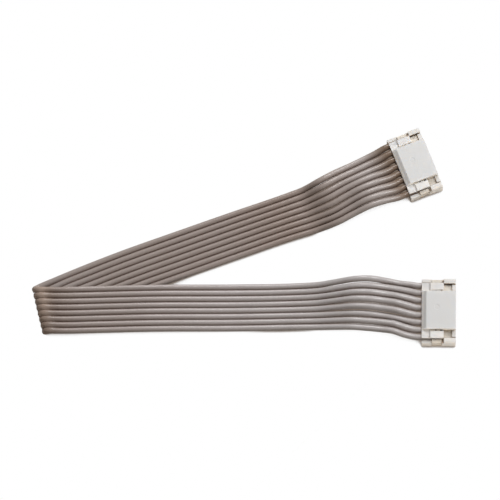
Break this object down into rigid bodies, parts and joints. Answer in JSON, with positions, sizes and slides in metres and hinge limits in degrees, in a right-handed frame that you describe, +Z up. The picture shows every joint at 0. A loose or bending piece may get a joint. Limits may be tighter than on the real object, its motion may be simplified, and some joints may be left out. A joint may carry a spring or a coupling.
{
  "type": "ribbon cable",
  "caption": "Flat ribbon cable of bonded insulated wires, folded back on itself in a narrow V, with a low insulation-displacement plug on each end.",
  "frame": {"origin": "centre of plug 1's underside, on the table", "axes": "+X the way that plug 1 mates and away from the fold, +Y towards plug 2, +Z up, square to the table"},
  "size_m": [0.1106, 0.0588, 0.0065],
  "materials": {
    "insulation": "satin soft vinyl, warm grey",
    "wire_core": "bare copper",
    "plug_housing": "natural white nylon",
    "plug_cover": "natural white nylon",
    "contact": "tin-plated spring bronze"
  },
  "bodies": {
    "root": {"wire_1": "insulation", "wire_2": "insulation", "wire_3": "insulation", "wire_4": "insulation", "wire_5": "insulation", "wire_6": "insulation", "wire_7": "insulation", "wire_8": "insulation", "core_1": "wire_core", "core_2": "wire_core", "core_3": "wire_core", "core_4": "wire_core", "core_5": "wire_core", "core_6": "wire_core", "core_7": "wire_core", "core_8": "wire_core", "plug_1_housing": "plug_housing", "plug_1_cover": "plug_cover", "plug_1_contact_1": "contact", "plug_1_contact_2": "contact", "plug_1_contact_3": "contact", "plug_1_contact_4": "contact", "plug_1_contact_5": "contact", "plug_1_contact_6": "contact", "plug_1_contact_7": "contact", "plug_1_contact_8": "contact", "plug_2_housing": "plug_housing", "plug_2_cover": "plug_cover", "plug_2_contact_1": "contact", "plug_2_contact_2": "contact", "plug_2_contact_3": "contact", "plug_2_contact_4": "contact", "plug_2_contact_5": "contact", "plug_2_contact_6": "contact", "plug_2_contact_7": "contact", "plug_2_contact_8": "contact"}
  },
  "joints": []
}
